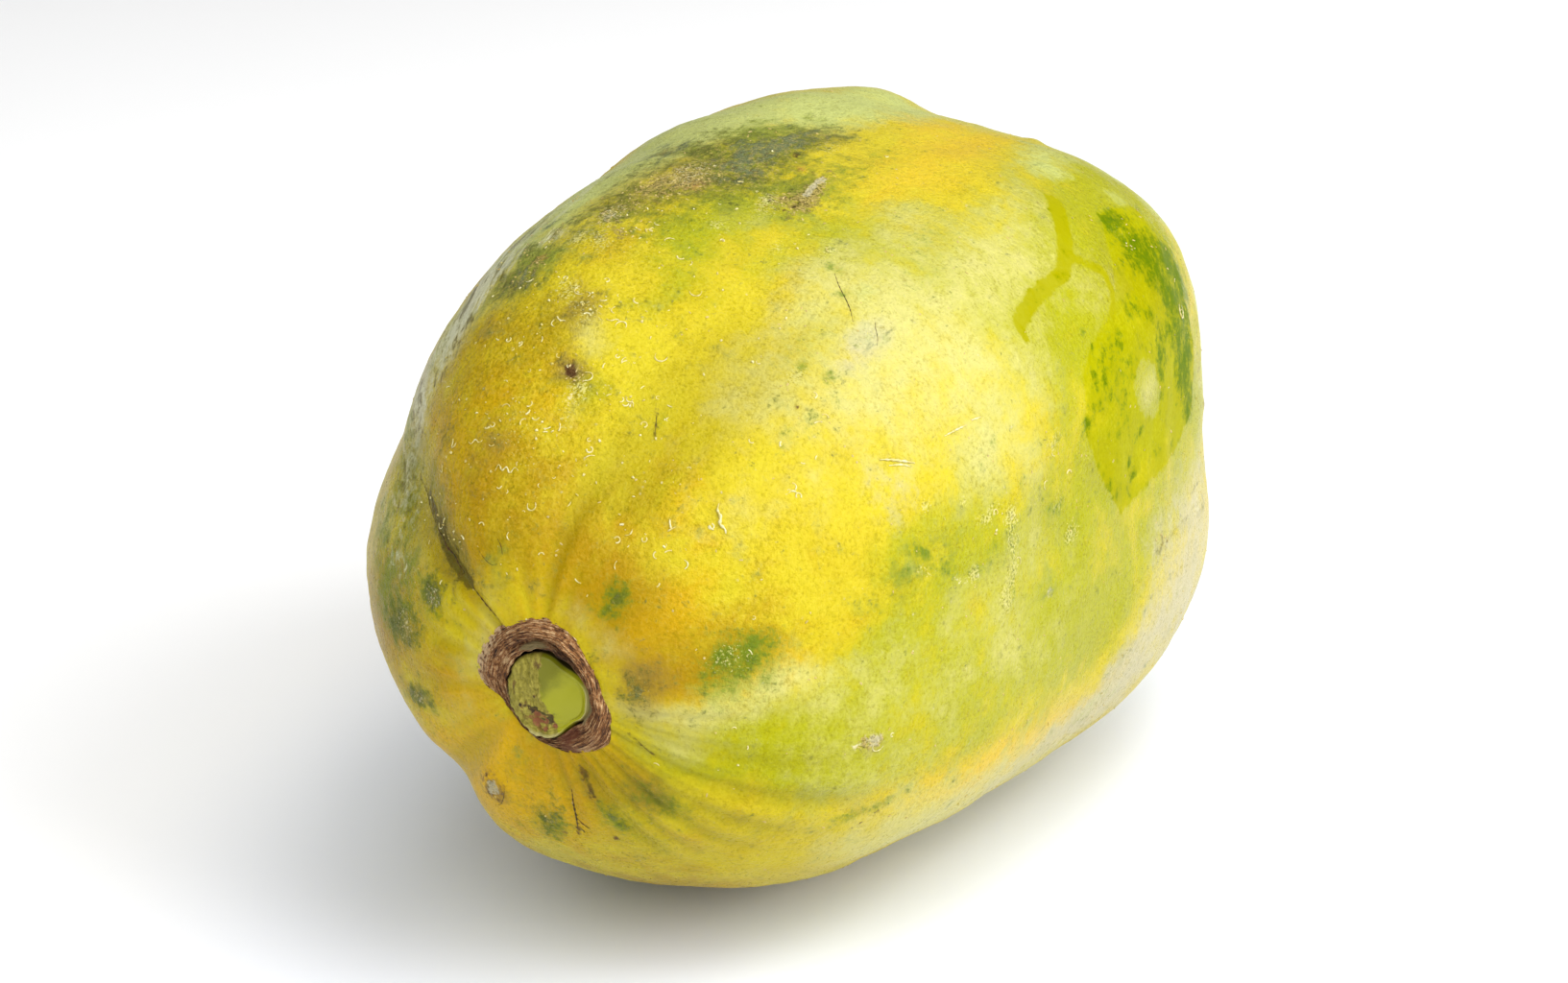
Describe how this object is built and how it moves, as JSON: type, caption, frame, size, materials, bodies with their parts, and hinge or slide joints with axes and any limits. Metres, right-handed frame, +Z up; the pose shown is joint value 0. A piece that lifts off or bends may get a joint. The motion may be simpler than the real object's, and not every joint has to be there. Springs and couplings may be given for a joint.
{
  "type": "papaya",
  "caption": "Whole ripe papaya lying on its side, with soft lobes, a corky ring round its stem scar, a cut stem stub and a small flat spot to rest on.",
  "frame": {"origin": "centre of the bottom of the whole part's box, on the surface that the fruit lies on", "axes": "+Z up, +Y along the fruit's length towards the blossom end, so the stem end is at -Y, and +X to the right of someone facing the blossom end from the stem end"},
  "size_m": [0.1302, 0.2198, 0.1303],
  "materials": {
    "waxy_skin": "smooth waxy yellow skin with green and olive patches",
    "corky_scar": "dry corky brown with fine concentric fibres",
    "green_stem": "cut plant stem, green on one side and dried olive brown on the other"
  },
  "bodies": {
    "root": {"fruit": "waxy_skin", "stem_scar_ring": "corky_scar", "stem_stub": "green_stem"}
  },
  "joints": []
}
